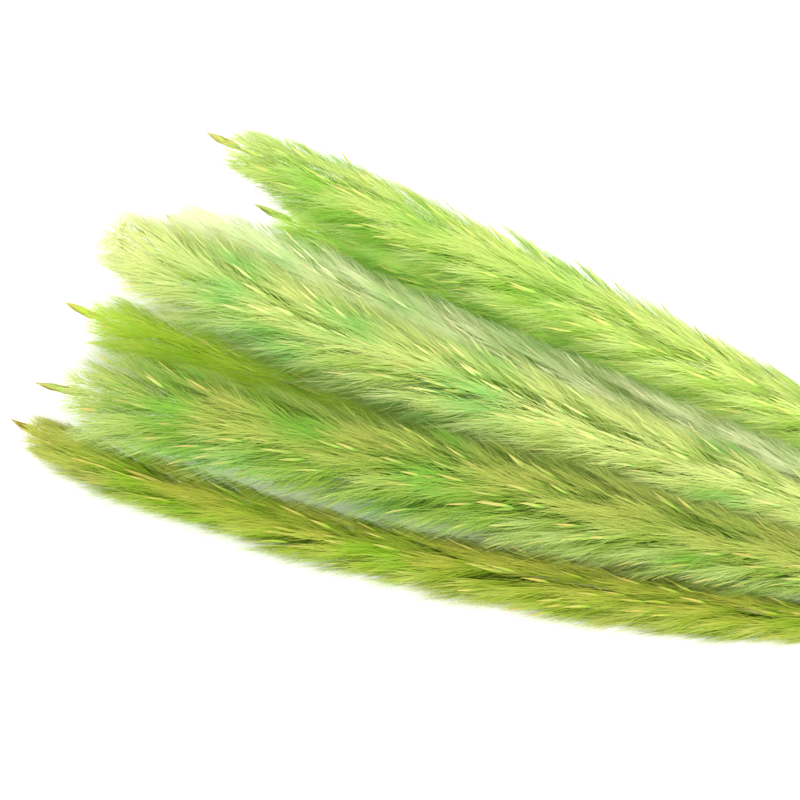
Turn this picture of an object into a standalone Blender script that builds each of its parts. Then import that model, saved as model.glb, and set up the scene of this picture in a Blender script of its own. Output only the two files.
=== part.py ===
"""A tied bunch of seven dried reeds, lying on a flat surface.

Metres, +Z up. The bunch lies along X: the plume tips point to -X and the cut ends to +X.
Each reed is a bare cane with a plume on its far end. The canes meet in a hexagon inside the
twine tie, and the plumes fan out from there in a lower and an upper layer. A reed's shape is
worked out from its distance to the tie: positive towards its plume, negative towards its cut end.
"""

import math
from collections import namedtuple

import bmesh
import bpy
from mathutils import Vector

COLLECTION_NAME = "reed_bunch"

# Reeds.
PLUME_LENGTH = 0.310
TAIL_LENGTH = 0.150
CANE_RADIUS_AT_CUT = 0.00165
CANE_RADIUS_AT_PLUME = 0.00110
NODE_SPACING = 0.118
NODE_SWELL = 1.16
NODE_HALF_LENGTH = 0.0016
BEND_LENGTH = 0.050
JOINT_GAP = 0.0003

# Canes inside the tie: a middle one with six round it, the lowest row first.
TIE_X = 0.150
CANE_PITCH = 0.0036
LOWEST_ROW_Z = 0.0040
ROW_HEIGHT = CANE_PITCH * math.sqrt(3) / 2
CANE_RADIUS_AT_TIE = 0.00150

# Cut ends: how far the canes spread, and the height of each row.
TAIL_SPREAD = 2.6
TAIL_ROW_Z = (0.00165, 0.0064, 0.0116)

# Twine tie.
TWINE_RADIUS = 0.00090
TWINE_CLEARANCE = 0.00025
TWINE_TURNS = 3
TWINE_PITCH = 0.00195
KNOT_HALF_SIZE = (0.0036, 0.0026, 0.0021)
TWINE_END_LENGTH = 0.013

# Plume girth along its length: share of the length from the tip, share of the full radius.
PLUME_PROFILE = (
    (0.000, 0.035),
    (0.018, 0.080),
    (0.034, 0.100),
    (0.044, 0.360),
    (0.058, 0.500),
    (0.078, 0.630),
    (0.105, 0.750),
    (0.140, 0.850),
    (0.190, 0.930),
    (0.250, 0.980),
    (0.310, 1.000),
    (0.370, 1.000),
    (0.430, 0.990),
    (0.490, 0.970),
    (0.550, 0.935),
    (0.610, 0.885),
    (0.670, 0.820),
    (0.730, 0.725),
    (0.790, 0.600),
    (0.840, 0.480),
    (0.890, 0.350),
    (0.930, 0.245),
    (0.965, 0.160),
    (1.000, 0.090),
)

# reach: tie to tip. column and row: place in the tie. tip: sideways and height at the tip.
# bow: how far the line bends away from a straight run. All in millimetres but the place.
Reed = namedtuple("Reed", "number reach column row tip bow radius colour")
REEDS = (
    Reed(1, 421, 0.5, 2, (77, 43), (-9, 14), 13.5, (0.42, 0.62, 0.10)),
    Reed(2, 406, 0.5, 0, (79, 10), (-1, 2), 12.5, (0.25, 0.48, 0.05)),
    Reed(3, 426, 1.0, 1, (50, 29), (-9, 1), 13.5, (0.52, 0.63, 0.25)),
    Reed(4, 433, -0.5, 2, (26, 41), (-15, 7), 13.5, (0.42, 0.62, 0.17)),
    Reed(5, 451, 0.0, 1, (18, 11), (-11, 1), 12.5, (0.33, 0.47, 0.07)),
    Reed(6, 438, -1.0, 1, (-35, 37), (-7, 8), 14.0, (0.36, 0.52, 0.10)),
    Reed(7, 450, -0.5, 0, (-32, 10), (-24, 3), 12.5, (0.40, 0.45, 0.06)),
)
CANE_COLOUR = (0.44, 0.46, 0.16)
TWINE_COLOUR = (0.47, 0.33, 0.17)

PLUME_SIDES_RESOLUTION = 4
CANE_SIDES_RESOLUTION = 2
MM = 0.001


def clear_scene():
    for obj in list(bpy.data.objects):
        bpy.data.objects.remove(obj, do_unlink=True)


def make_material(name, colour, roughness):
    material = bpy.data.materials.new(name)
    material.use_nodes = True
    shader = material.node_tree.nodes["Principled BSDF"]
    shader.inputs["Base Color"].default_value = (*colour, 1.0)
    shader.inputs["Roughness"].default_value = roughness
    shader.inputs["Metallic"].default_value = 0.0
    return material


def ease(distance):
    """Grows from a flat start to a straight run, like a cane bending out of the tie."""
    return math.hypot(distance, BEND_LENGTH) - BEND_LENGTH


def place_in_tie(reed):
    """Sideways place and height of a reed's cane inside the tie."""
    return reed.column * CANE_PITCH, LOWEST_ROW_Z + reed.row * ROW_HEIGHT


def reed_point(reed, distance):
    """The reed's centre at a distance from the tie."""
    start_y, start_z = place_in_tie(reed)
    if distance < 0:
        share = ease(-distance) / ease(TAIL_LENGTH)
        y = start_y * (1 + (TAIL_SPREAD - 1) * share)
        z = start_z + (TAIL_ROW_Z[reed.row] - start_z) * share
        return Vector((TIE_X - distance, y, z))
    reach = reed.reach * MM
    along = distance / reach
    share = ease(distance) / ease(reach)
    bend = 6.75 * along * along * (1 - along)
    y = start_y + (reed.tip[0] * MM - start_y) * share + reed.bow[0] * MM * bend
    z = start_z + (reed.tip[1] * MM - start_z) * share + reed.bow[1] * MM * bend
    return Vector((TIE_X - distance, y, z))


def cane_radius(distance, plume_start):
    """Tapers evenly from the cut end to the plume."""
    along = (distance + TAIL_LENGTH) / (plume_start + TAIL_LENGTH)
    return CANE_RADIUS_AT_CUT + (CANE_RADIUS_AT_PLUME - CANE_RADIUS_AT_CUT) * along


def make_tube(name, points, radii, resolution, cyclic=False):
    """A closed tube mesh along the points, with its caps welded on."""
    curve = bpy.data.curves.new(name, "CURVE")
    curve.dimensions = "3D"
    curve.bevel_depth = 1.0
    curve.bevel_resolution = resolution
    curve.use_fill_caps = not cyclic
    curve.twist_mode = "Z_UP"
    spline = curve.splines.new("POLY")
    spline.points.add(len(points) - 1)
    for target, point, radius in zip(spline.points, points, radii):
        target.co = (*point, 1.0)
        target.radius = radius
    spline.use_cyclic_u = cyclic
    guide = bpy.data.objects.new(name + "_path", curve)
    bpy.context.scene.collection.objects.link(guide)
    bpy.context.view_layer.update()
    evaluated = guide.evaluated_get(bpy.context.evaluated_depsgraph_get())
    mesh = bpy.data.meshes.new_from_object(evaluated)
    mesh.name = name
    matrix = guide.matrix_world.copy()
    bpy.data.objects.remove(guide, do_unlink=True)
    bpy.data.curves.remove(curve)
    shape = bmesh.new()
    shape.from_mesh(mesh)
    bmesh.ops.remove_doubles(shape, verts=shape.verts, dist=0.00001)
    bmesh.ops.recalc_face_normals(shape, faces=shape.faces)
    shape.to_mesh(mesh)
    shape.free()
    obj = bpy.data.objects.new(name, mesh)
    obj.matrix_world = matrix
    return obj


def press_on_surface(obj):
    """Flattens what would reach below the surface that the bunch lies on."""
    for vertex in obj.data.vertices:
        vertex.co.z = max(vertex.co.z, 0.0)


def finish(obj, collection, material, parent, sharp_angle):
    collection.objects.link(obj)
    obj.data.materials.clear()
    obj.data.materials.append(material)
    obj.data.shade_smooth()
    obj.data.set_sharp_from_angle(angle=math.radians(sharp_angle))
    obj.parent = parent
    return obj


def make_plume(reed):
    """The fluffy head: the closed outer shape of its hairs, with the stiff tip standing out."""
    reach = reed.reach * MM
    points = [reed_point(reed, reach - share * PLUME_LENGTH) for share, _ in PLUME_PROFILE]
    radii = [reed.radius * MM * size for _, size in PLUME_PROFILE]
    plume = make_tube(f"reed_{reed.number:02d}_plume", points, radii, PLUME_SIDES_RESOLUTION)
    press_on_surface(plume)
    return plume


def cane_stations(plume_start):
    """Distances along a cane for its rings, with three close together at each swollen node."""
    step = 0.016
    count = math.ceil((plume_start + TAIL_LENGTH) / step)
    first, last = -TAIL_LENGTH, plume_start - JOINT_GAP
    stations = [first + (last - first) * i / count for i in range(count + 1)]
    nodes = []
    node = first + NODE_SPACING * 0.45
    while node < last - NODE_SPACING * 0.2:
        nodes.append(node)
        node += NODE_SPACING
    clear = 2.5 * NODE_HALF_LENGTH
    stations = [s for s in stations if all(abs(s - node) > clear for node in nodes)]
    for node in nodes:
        stations += [node - NODE_HALF_LENGTH, node, node + NODE_HALF_LENGTH]
    return sorted(stations), nodes


def make_cane(reed):
    """The bare stem, from its cut end to just under the plume, with slightly swollen nodes."""
    plume_start = reed.reach * MM - PLUME_LENGTH
    stations, nodes = cane_stations(plume_start)
    points = [reed_point(reed, station) for station in stations]
    radii = []
    for station in stations:
        swell = NODE_SWELL if station in nodes else 1.0
        radii.append(cane_radius(station, plume_start) * swell)
    cane = make_tube(f"reed_{reed.number:02d}_stem", points, radii, CANE_SIDES_RESOLUTION)
    press_on_surface(cane)
    return cane


def twine_path(steps_per_corner):
    """Turns of twine round the hexagon of canes, starting and ending on top of it."""
    centre = Vector((TIE_X, 0.0, LOWEST_ROW_Z + ROW_HEIGHT))
    reach = CANE_RADIUS_AT_TIE * NODE_SWELL + TWINE_CLEARANCE + TWINE_RADIUS
    offsets = []
    for corner in range(2, 2 + 6 * TWINE_TURNS):
        middle = math.radians(60 * corner)
        cane = Vector((0.0, math.cos(middle), math.sin(middle))) * CANE_PITCH
        for step in range(steps_per_corner):
            angle = middle + math.radians(60) * (step / (steps_per_corner - 1) - 0.5)
            offsets.append(cane + Vector((0.0, math.cos(angle), math.sin(angle))) * reach)
    points = []
    for index, offset in enumerate(offsets):
        share = index / (len(offsets) - 1) - 0.5
        points.append(centre + offset + Vector((share * TWINE_TURNS * TWINE_PITCH, 0.0, 0.0)))
    return points


def union(target, other):
    """Joins another closed object into the target."""
    modifier = target.modifiers.new("join", "BOOLEAN")
    modifier.operation = "UNION"
    modifier.object = other
    bpy.context.view_layer.update()
    evaluated = target.evaluated_get(bpy.context.evaluated_depsgraph_get())
    joined = bpy.data.meshes.new_from_object(evaluated)
    target.modifiers.remove(modifier)
    target.data = joined
    bpy.data.objects.remove(other, do_unlink=True)


def make_knot(centre):
    shape = bmesh.new()
    bmesh.ops.create_uvsphere(shape, u_segments=14, v_segments=8, radius=1.0)
    bmesh.ops.scale(shape, vec=KNOT_HALF_SIZE, verts=shape.verts)
    bmesh.ops.translate(shape, vec=centre, verts=shape.verts)
    mesh = bpy.data.meshes.new("twine_tie")
    shape.to_mesh(mesh)
    shape.free()
    return bpy.data.objects.new("twine_tie", mesh)


def make_tie():
    """Turns of twine side by side under one knot on top, which has two short ends."""
    points = twine_path(3)
    knot_centre = Vector((TIE_X, 0.0, points[0].z - TWINE_RADIUS + KNOT_HALF_SIZE[2] * 0.9))
    scene_objects = bpy.context.scene.collection.objects
    tie = make_knot(knot_centre)
    radii = [TWINE_RADIUS] * len(points)
    pieces = [make_tube("twine_turns", points, radii, CANE_SIDES_RESOLUTION)]
    for side in (-1, 1):
        start = knot_centre + Vector((side * 0.0010, side * 0.0008, 0.0))
        points = []
        for step in range(7):
            share = step / 6
            out = share * TWINE_END_LENGTH
            rise = 0.0016 * math.sin(share * math.pi) - 0.0018 * share * share
            points.append(start + Vector((side * out * 0.45, side * out * 0.85, rise)))
        radii = [TWINE_RADIUS] * len(points)
        pieces.append(make_tube(f"twine_end_{side}", points, radii, CANE_SIDES_RESOLUTION))
    scene_objects.link(tie)
    for piece in pieces:
        scene_objects.link(piece)
        union(tie, piece)
    scene_objects.unlink(tie)
    return tie


def centre_on_surface(anchor, parts):
    """Moves the bunch so that its box is centred on the origin and stands on Z = 0."""
    corners = [vertex.co for part in parts for vertex in part.data.vertices]
    low = Vector(min(corner[axis] for corner in corners) for axis in range(3))
    high = Vector(max(corner[axis] for corner in corners) for axis in range(3))
    anchor.location = (-(low.x + high.x) / 2, -(low.y + high.y) / 2, -low.z)


def main():
    clear_scene()
    collection = bpy.data.collections.new(COLLECTION_NAME)
    bpy.context.scene.collection.children.link(collection)
    anchor = bpy.data.objects.new("reed_bunch_anchor", None)
    collection.objects.link(anchor)
    cane_material = make_material("dyed_reed_cane", CANE_COLOUR, 0.55)
    twine_material = make_material("jute_twine", TWINE_COLOUR, 0.85)
    parts = []
    for reed in REEDS:
        plume_material = make_material(f"reed_{reed.number:02d}_fluff", reed.colour, 0.80)
        parts.append(finish(make_plume(reed), collection, plume_material, anchor, 60))
        parts.append(finish(make_cane(reed), collection, cane_material, anchor, 50))
    parts.append(finish(make_tie(), collection, twine_material, anchor, 40))
    centre_on_surface(anchor, parts)


main()
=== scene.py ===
"""Bunch of dyed, dried reeds: the finished model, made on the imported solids.

Each plume's solid is replaced by its hairs, seed scales and stalk, each cane by a hollow reed
cane, and the tie by twisted jute. Lengths are in metres, and +X runs to the cut ends.
"""

import math
from typing import NamedTuple

import bpy
import numpy as np
from bpy.props import (
    CollectionProperty,
    FloatProperty,
    FloatVectorProperty,
    IntProperty,
    PointerProperty,
)
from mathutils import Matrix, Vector


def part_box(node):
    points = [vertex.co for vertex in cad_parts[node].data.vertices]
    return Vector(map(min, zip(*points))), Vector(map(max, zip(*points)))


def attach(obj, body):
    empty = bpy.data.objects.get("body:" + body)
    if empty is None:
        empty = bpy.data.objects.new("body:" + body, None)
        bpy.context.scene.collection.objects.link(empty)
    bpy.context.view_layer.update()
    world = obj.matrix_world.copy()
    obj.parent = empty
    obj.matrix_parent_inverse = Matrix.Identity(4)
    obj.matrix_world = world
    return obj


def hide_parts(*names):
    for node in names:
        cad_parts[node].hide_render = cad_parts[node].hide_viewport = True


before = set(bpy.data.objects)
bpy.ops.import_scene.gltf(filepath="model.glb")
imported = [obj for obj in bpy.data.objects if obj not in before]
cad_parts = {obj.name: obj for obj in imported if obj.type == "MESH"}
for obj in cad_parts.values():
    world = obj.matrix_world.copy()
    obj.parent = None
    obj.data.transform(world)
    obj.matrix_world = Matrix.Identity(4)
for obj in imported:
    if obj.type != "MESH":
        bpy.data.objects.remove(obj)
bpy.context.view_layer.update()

bl_info = {
    "name": "Dried reed bunch",
    "version": (1, 0, 0),
    "blender": (4, 5, 0),
    "location": "3D View > Sidebar > Reeds",
    "description": "Builds a tied bunch of dyed, dried reeds with fluffy plumes",
    "category": "Add Mesh",
}

BODY = "root"
UP = (0.0, 0.0, 1.0)
GOLDEN_ANGLE = math.radians(137.508)
PLUME_STATIONS = 110
CANE_STATIONS = 240
# How far the last slice of a cane keeps from its end, which isn't quite square to X.
CANE_END_SLANT = 0.0009
# A tube closes where its girth is as small as this.
NIL_GIRTH = 0.000001
KEY_LIGHT_PLACE = (0.1, 0.8, 1.5)
FILL_LIGHT_PLACE = (0.7, -1.3, 1.2)
FLOOR_HALF = 3.0


class Dye(NamedTuple):
    """One reed's plume: its colours as red, green and blue out of 255, and how it has grown."""

    # Paler colour of the hair on the upper side: painted light from above.
    lit_top: tuple
    body: tuple
    patch: tuple
    silk: tuple
    # Darker colour of the hair near the stalk: painted shade inside the plume.
    shaded_core: tuple
    scale: tuple
    fullness: float
    swell: float
    base_swell: float
    bare_tip: float
    blunt_length: float
    end_share: float


LIME = Dye(
    lit_top=(216, 229, 140),
    body=(200, 226, 107),
    patch=(156, 211, 70),
    silk=(222, 232, 165),
    shaded_core=(170, 205, 78),
    scale=(206, 196, 118),
    fullness=1.0,
    swell=1.11,
    base_swell=0.96,
    bare_tip=0.0125,
    blunt_length=0.021,
    end_share=1.15,
)
GREEN = Dye(
    lit_top=(216, 244, 126),
    body=(198, 236, 98),
    patch=(168, 224, 72),
    silk=(233, 250, 160),
    shaded_core=(161, 212, 66),
    scale=(190, 190, 104),
    fullness=0.78,
    swell=1.03,
    base_swell=0.93,
    bare_tip=0.0115,
    blunt_length=0.016,
    end_share=1.2,
)
SAGE = Dye(
    lit_top=(242, 247, 206),
    body=(237, 244, 187),
    patch=(202, 235, 153),
    silk=(248, 250, 225),
    shaded_core=(220, 235, 162),
    scale=(214, 206, 156),
    fullness=1.0,
    swell=1.12,
    base_swell=1.3,
    bare_tip=0.004,
    blunt_length=0.01,
    end_share=0.5,
)
MINT = Dye(
    lit_top=(218, 226, 148),
    body=(206, 223, 126),
    patch=(142, 208, 107),
    silk=(228, 232, 171),
    shaded_core=(187, 212, 96),
    scale=(206, 200, 138),
    fullness=1.08,
    swell=1.28,
    base_swell=1.28,
    bare_tip=-0.0040,
    blunt_length=0.0045,
    end_share=0.45,
)
OLIVE = Dye(
    lit_top=(210, 232, 88),
    body=(209, 237, 72),
    patch=(188, 224, 64),
    silk=(214, 231, 124),
    shaded_core=(204, 233, 56),
    scale=(204, 186, 104),
    fullness=0.95,
    swell=1.12,
    base_swell=1.2,
    bare_tip=0.014,
    blunt_length=0.014,
    end_share=1.3,
)
YELLOW_GREEN = Dye(
    lit_top=(188, 197, 100),
    body=(165, 192, 77),
    patch=(126, 190, 61),
    silk=(197, 212, 140),
    shaded_core=(141, 180, 58),
    scale=(206, 184, 118),
    fullness=1.1,
    swell=1.26,
    base_swell=1.48,
    bare_tip=0.015,
    blunt_length=0.01,
    end_share=1.35,
)
OLIVE_YELLOW = Dye(
    lit_top=(190, 194, 79),
    body=(171, 192, 55),
    patch=(149, 196, 36),
    silk=(202, 206, 113),
    shaded_core=(145, 177, 39),
    scale=(206, 180, 106),
    fullness=0.94,
    swell=0.87,
    base_swell=1.27,
    bare_tip=0.0095,
    blunt_length=0.013,
    end_share=1.2,
)
DYES = (LIME, GREEN, SAGE, MINT, OLIVE, YELLOW_GREEN, OLIVE_YELLOW)


def linear(red, green, blue):
    """A colour out of 255 as the shader's linear values."""
    shares = (channel / 255 for channel in (red, green, blue))
    return tuple(s / 12.92 if s <= 0.04045 else ((s + 0.055) / 1.055) ** 2.4 for s in shares)


# ---------------------------------------------------------------------------
# Node arithmetic


class Field:
    """A node's output socket, usable in plain arithmetic."""

    def __init__(self, tree, socket):
        self.tree = tree
        self.socket = socket

    @property
    def is_vector(self):
        return self.socket.type == "VECTOR"

    def __add__(self, other):
        return self.tree.combine("ADD", self, other)

    def __radd__(self, other):
        return self.tree.combine("ADD", other, self)

    def __sub__(self, other):
        return self.tree.combine("SUBTRACT", self, other)

    def __rsub__(self, other):
        return self.tree.combine("SUBTRACT", other, self)

    def __mul__(self, other):
        if self.is_vector and not getattr(other, "is_vector", isinstance(other, tuple)):
            return self.tree.vector_math("SCALE", self, scale=other)
        if getattr(other, "is_vector", False) and not self.is_vector:
            return other * self
        return self.tree.combine("MULTIPLY", self, other)

    def __rmul__(self, other):
        return self * other

    def __truediv__(self, other):
        return self.tree.combine("DIVIDE", self, other)

    def __pow__(self, other):
        return self.tree.math("POWER", self, other)


class Tree:
    """Adds nodes to a node tree and links them."""

    def __init__(self, nodes, links):
        self.nodes = nodes
        self.links = links

    def feed(self, socket, value):
        if isinstance(value, Field):
            self.links.new(value.socket, socket)
        elif hasattr(value, "default_value"):
            self.links.new(value, socket)
        else:
            socket.default_value = value

    def add(self, kind, feeds=None, **settings):
        node = self.nodes.new(kind)
        for name, value in settings.items():
            setattr(node, name, value)
        for key, value in (feeds or {}).items():
            self.feed(node.inputs[key], value)
        return node

    def out(self, node, key=0):
        return Field(self, node.outputs[key])

    def math(self, operation, *values):
        node = self.add("ShaderNodeMath", operation=operation)
        for socket, value in zip(node.inputs, values):
            self.feed(socket, value)
        return self.out(node)

    def vector_math(self, operation, *values, scale=None):
        node = self.add("ShaderNodeVectorMath", operation=operation)
        for socket, value in zip(node.inputs, values):
            self.feed(socket, value)
        if scale is not None:
            self.feed(node.inputs["Scale"], scale)
        key = "Value" if operation in ("LENGTH", "DOT_PRODUCT", "DISTANCE") else "Vector"
        return self.out(node, key)

    def combine(self, operation, first, second):
        vectors = [getattr(v, "is_vector", isinstance(v, tuple)) for v in (first, second)]
        if any(vectors):
            return self.vector_math(operation, first, second)
        return self.math(operation, first, second)

    def vector(self, x, y, z):
        return self.out(self.add("ShaderNodeCombineXYZ", {0: x, 1: y, 2: z}))

    def split(self, vector):
        node = self.add("ShaderNodeSeparateXYZ", {0: vector})
        return tuple(self.out(node, i) for i in range(3))

    def between(self, first, second, share):
        """A number that goes from the first value to the second."""
        return first + (second - first) * share


class Growth(Tree):
    """A Geometry Nodes tree with named inputs."""

    KINDS = {
        "INT": "NodeSocketInt",
        "FLOAT": "NodeSocketFloat",
        "LENGTH": "NodeSocketFloat",
        "MATERIAL": "NodeSocketMaterial",
    }

    def __init__(self, name, *inputs):
        self.group = bpy.data.node_groups.new(name, "GeometryNodeTree")
        super().__init__(self.group.nodes, self.group.links)
        face = self.group.interface
        face.new_socket("Geometry", in_out="INPUT", socket_type="NodeSocketGeometry")
        for label, kind, value in inputs:
            socket = face.new_socket(label, in_out="INPUT", socket_type=self.KINDS[kind])
            if kind == "LENGTH":
                socket.subtype = "DISTANCE"
            if value is not None:
                socket.default_value = value
        face.new_socket("Geometry", in_out="OUTPUT", socket_type="NodeSocketGeometry")
        self.entry = self.nodes.new("NodeGroupInput")
        self.leave = self.nodes.new("NodeGroupOutput")

    def __getitem__(self, label):
        return Field(self, self.entry.outputs[label])

    def random(self, low, high, seed, number=None):
        node = self.add("FunctionNodeRandomValue", data_type="FLOAT")
        self.feed(node.inputs[2], low)
        self.feed(node.inputs[3], high)
        if number is not None:
            self.feed(node.inputs["ID"], number)
        self.feed(node.inputs["Seed"], seed)
        return self.out(node, 1)

    def place(self):
        return self.out(self.add("GeometryNodeInputPosition"))

    def moved(self, geometry, place):
        """The geometry with its points at new places."""
        feeds = {"Geometry": geometry, "Position": place}
        return self.out(self.add("GeometryNodeSetPosition", feeds))

    def set_on(self, points, shape):
        """A copy of the shape for every point, which keeps the point's numbers."""
        copies = self.add("GeometryNodeInstanceOnPoints", {"Points": points, "Instance": shape})
        return self.out(self.add("GeometryNodeRealizeInstances", {"Geometry": self.out(copies)}))

    def joined(self, *geometries):
        node = self.add("GeometryNodeJoinGeometry")
        for geometry in geometries:
            self.links.new(geometry.socket, node.inputs[0])
        return self.out(node)

    def named(self, name, kind="FLOAT"):
        node = self.add("GeometryNodeInputNamedAttribute", {"Name": name}, data_type=kind)
        return self.out(node, 0)

    def store(self, geometry, name, value, kind="FLOAT", domain="POINT"):
        feeds = {"Geometry": geometry, "Name": name, "Value": value}
        node = self.add("GeometryNodeStoreNamedAttribute", feeds, data_type=kind, domain=domain)
        return self.out(node)

    def at_index(self, geometry, value, index, kind="FLOAT", domain="POINT"):
        """A value read from one of a geometry's elements."""
        feeds = {"Geometry": geometry, "Value": value, "Index": index}
        node = self.add("GeometryNodeSampleIndex", feeds, data_type=kind, domain=domain)
        return self.out(node)

    def along_curve(self, curve, length, value=None):
        """Place, direction and a sampled number at a length along a curve."""
        feeds = {"Curves": curve, "Length": length}
        if value is not None:
            feeds["Value"] = value
        settings = {"mode": "LENGTH", "data_type": "FLOAT", "use_all_curves": True}
        node = self.add("GeometryNodeSampleCurve", feeds, **settings)
        return self.out(node, "Position"), self.out(node, "Tangent"), self.out(node, "Value")

    def end(self, geometry, material):
        whole = self.add("GeometryNodeRealizeInstances", {"Geometry": geometry})
        painted = self.add("GeometryNodeSetMaterial", {"Geometry": self.out(whole)})
        self.feed(painted.inputs["Material"], material)
        self.feed(self.leave.inputs[0], self.out(painted))


def grow(name, mesh, growth, values):
    """Runs a tree on a mesh and returns the result as a plain object."""
    seed = bpy.data.objects.new(name, mesh)
    bpy.context.scene.collection.objects.link(seed)
    modifier = seed.modifiers.new("growth", "NODES")
    modifier.node_group = growth.group
    for item in growth.group.interface.items_tree:
        if item.in_out == "INPUT" and item.name in values:
            modifier[item.identifier] = values[item.name]
    bpy.context.view_layer.update()
    evaluated = seed.evaluated_get(bpy.context.evaluated_depsgraph_get())
    made = bpy.data.meshes.new_from_object(evaluated)
    made.name = name
    seed.modifiers.remove(modifier)
    bpy.data.objects.remove(seed, do_unlink=True)
    obj = bpy.data.objects.new(name, made)
    bpy.context.scene.collection.objects.link(obj)
    if not made.polygons:
        raise RuntimeError(f"{name} grew no faces")
    return obj


# ---------------------------------------------------------------------------
# Materials


def shader_tree(name):
    material = bpy.data.materials.new(name)
    material.use_nodes = True
    nodes = material.node_tree.nodes
    tree = Tree(nodes, material.node_tree.links)
    return material, tree, nodes["Principled BSDF"], nodes["Material Output"]


def attribute(tree, name, key="Fac"):
    return tree.out(tree.add("ShaderNodeAttribute", attribute_name=name), key)


def object_place(tree):
    return tree.out(tree.add("ShaderNodeTexCoord"), "Object")


def noise(tree, place, scale, detail):
    feeds = {"Vector": place, "Scale": scale, "Detail": detail}
    return tree.out(tree.add("ShaderNodeTexNoise", feeds), 0)


def blended(tree, share, first, second, mode="MIX"):
    """Two colours mixed by a share."""
    node = tree.add("ShaderNodeMix", data_type="RGBA", blend_type=mode, clamp_factor=True)
    tree.feed(node.inputs[0], share)
    for socket, value in ((node.inputs[6], first), (node.inputs[7], second)):
        tree.feed(socket, value if isinstance(value, Field) else (*value, 1.0))
    return tree.out(node, 2)


def ramped(tree, value, low, high):
    """The value's rise from low to high, as 0 to 1."""
    node = tree.add("ShaderNodeMapRange", interpolation_type="SMOOTHSTEP", clamp=True)
    for index, number in enumerate((value, low, high, 0.0, 1.0)):
        tree.feed(node.inputs[index], number)
    return tree.out(node, 0)


# ---------------------------------------------------------------------------
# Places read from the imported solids


def slices(node, stations):
    """Place and half width of a node's cross-section at each station along X."""
    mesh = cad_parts[node].data
    mesh.calc_loop_triangles()
    points = np.array([vertex.co for vertex in mesh.vertices])
    corners = points[np.array([triangle.vertices for triangle in mesh.loop_triangles])]
    rows = []
    for x in stations:
        beyond = corners[:, :, 0] - x
        crossed = corners[(beyond.min(1) < 0) & (beyond.max(1) > 0)]
        cuts = []
        for a, b in ((0, 1), (1, 2), (2, 0)):
            start, end = crossed[:, a], crossed[:, b]
            straddles = (start[:, 0] - x) * (end[:, 0] - x) < 0
            start, end = start[straddles], end[straddles]
            share = (x - start[:, 0]) / (end[:, 0] - start[:, 0])
            cuts.append(start + (end - start) * share[:, None])
        ring = np.concatenate(cuts)
        low, high = ring.min(0), ring.max(0)
        half = (high[1] - low[1]) / 2
        rows.append((x, (low[1] + high[1]) / 2, high[2] - half, half))
    return np.array(rows)


def evened(rows, columns, passes=4):
    """Takes out of some columns the corners that a solid's flat faces leave."""
    rows = rows.copy()
    for _ in range(passes):
        rows[1:-1, columns] = (rows[:-2, columns] + 2 * rows[1:-1, columns] + rows[2:, columns]) / 4
    return rows


def plume_rows(number):
    """The plume's line from its tip to its base."""
    node = f"reed_{number:02d}_plume"
    low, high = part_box(node)
    rows = slices(node, np.linspace(low.x + 0.0004, high.x - 0.0004, PLUME_STATIONS))
    return evened(rows, [1, 2, 3])


def cane_rows(number):
    """The cane's line from its plume to its cut end, run on over the slant of the solid's end."""
    node = f"reed_{number:02d}_stem"
    low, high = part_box(node)
    stations = np.linspace(low.x + 0.0003, high.x - CANE_END_SLANT, CANE_STATIONS)
    rows = evened(slices(node, stations), [1, 2], 12)
    way = (rows[-1] - rows[-12]) / (rows[-1, 0] - rows[-12, 0])
    end = rows[-1] + way * (CANE_END_SLANT - 0.0001)
    end[3] = rows[-1, 3]
    return np.concatenate([rows, [end]])


def line_mesh(name, rows, **numbers):
    """A line of points that a tree grows on, with the girth and other numbers at each."""
    mesh = bpy.data.meshes.new(name)
    edges = [(i, i + 1) for i in range(len(rows) - 1)]
    mesh.from_pydata([tuple(row[:3]) for row in rows], edges, [])
    for label, values in {"girth": rows[:, 3], **numbers}.items():
        column = mesh.attributes.new(label, "FLOAT", "POINT")
        column.data.foreach_set("value", np.asarray(values, np.float32))
    return mesh


# ---------------------------------------------------------------------------
# Plume hair


def across(tree, direction):
    """Upward and sideways directions square to a plume's line."""
    side = tree.vector_math("NORMALIZE", tree.vector_math("CROSS_PRODUCT", direction, UP))
    return tree.vector_math("CROSS_PRODUCT", side, direction), side


def outward(tree, up, side, angle):
    """Direction away from a plume's line, at an angle from straight up."""
    return up * tree.math("COSINE", angle) + side * tree.math("SINE", angle)


def bezier(root, bend, tip, share):
    """A place on the curve from root to tip that is drawn towards the bend."""
    rest = 1.0 - share
    return root * (rest * rest) + bend * (share * rest * 2.0) + tip * (share * share)


def ribbon(tree):
    """A flat strip that knows how far along it and to which side each of its points is."""
    strip = tree.add("GeometryNodeMeshGrid", {0: 1.0, 1: 1.0, 2: 2, 3: 3})
    x, y, _ = tree.split(tree.place())
    return tree.store(tree.store(tree.out(strip, "Mesh"), "share", y + 0.5), "edge", x)


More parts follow.
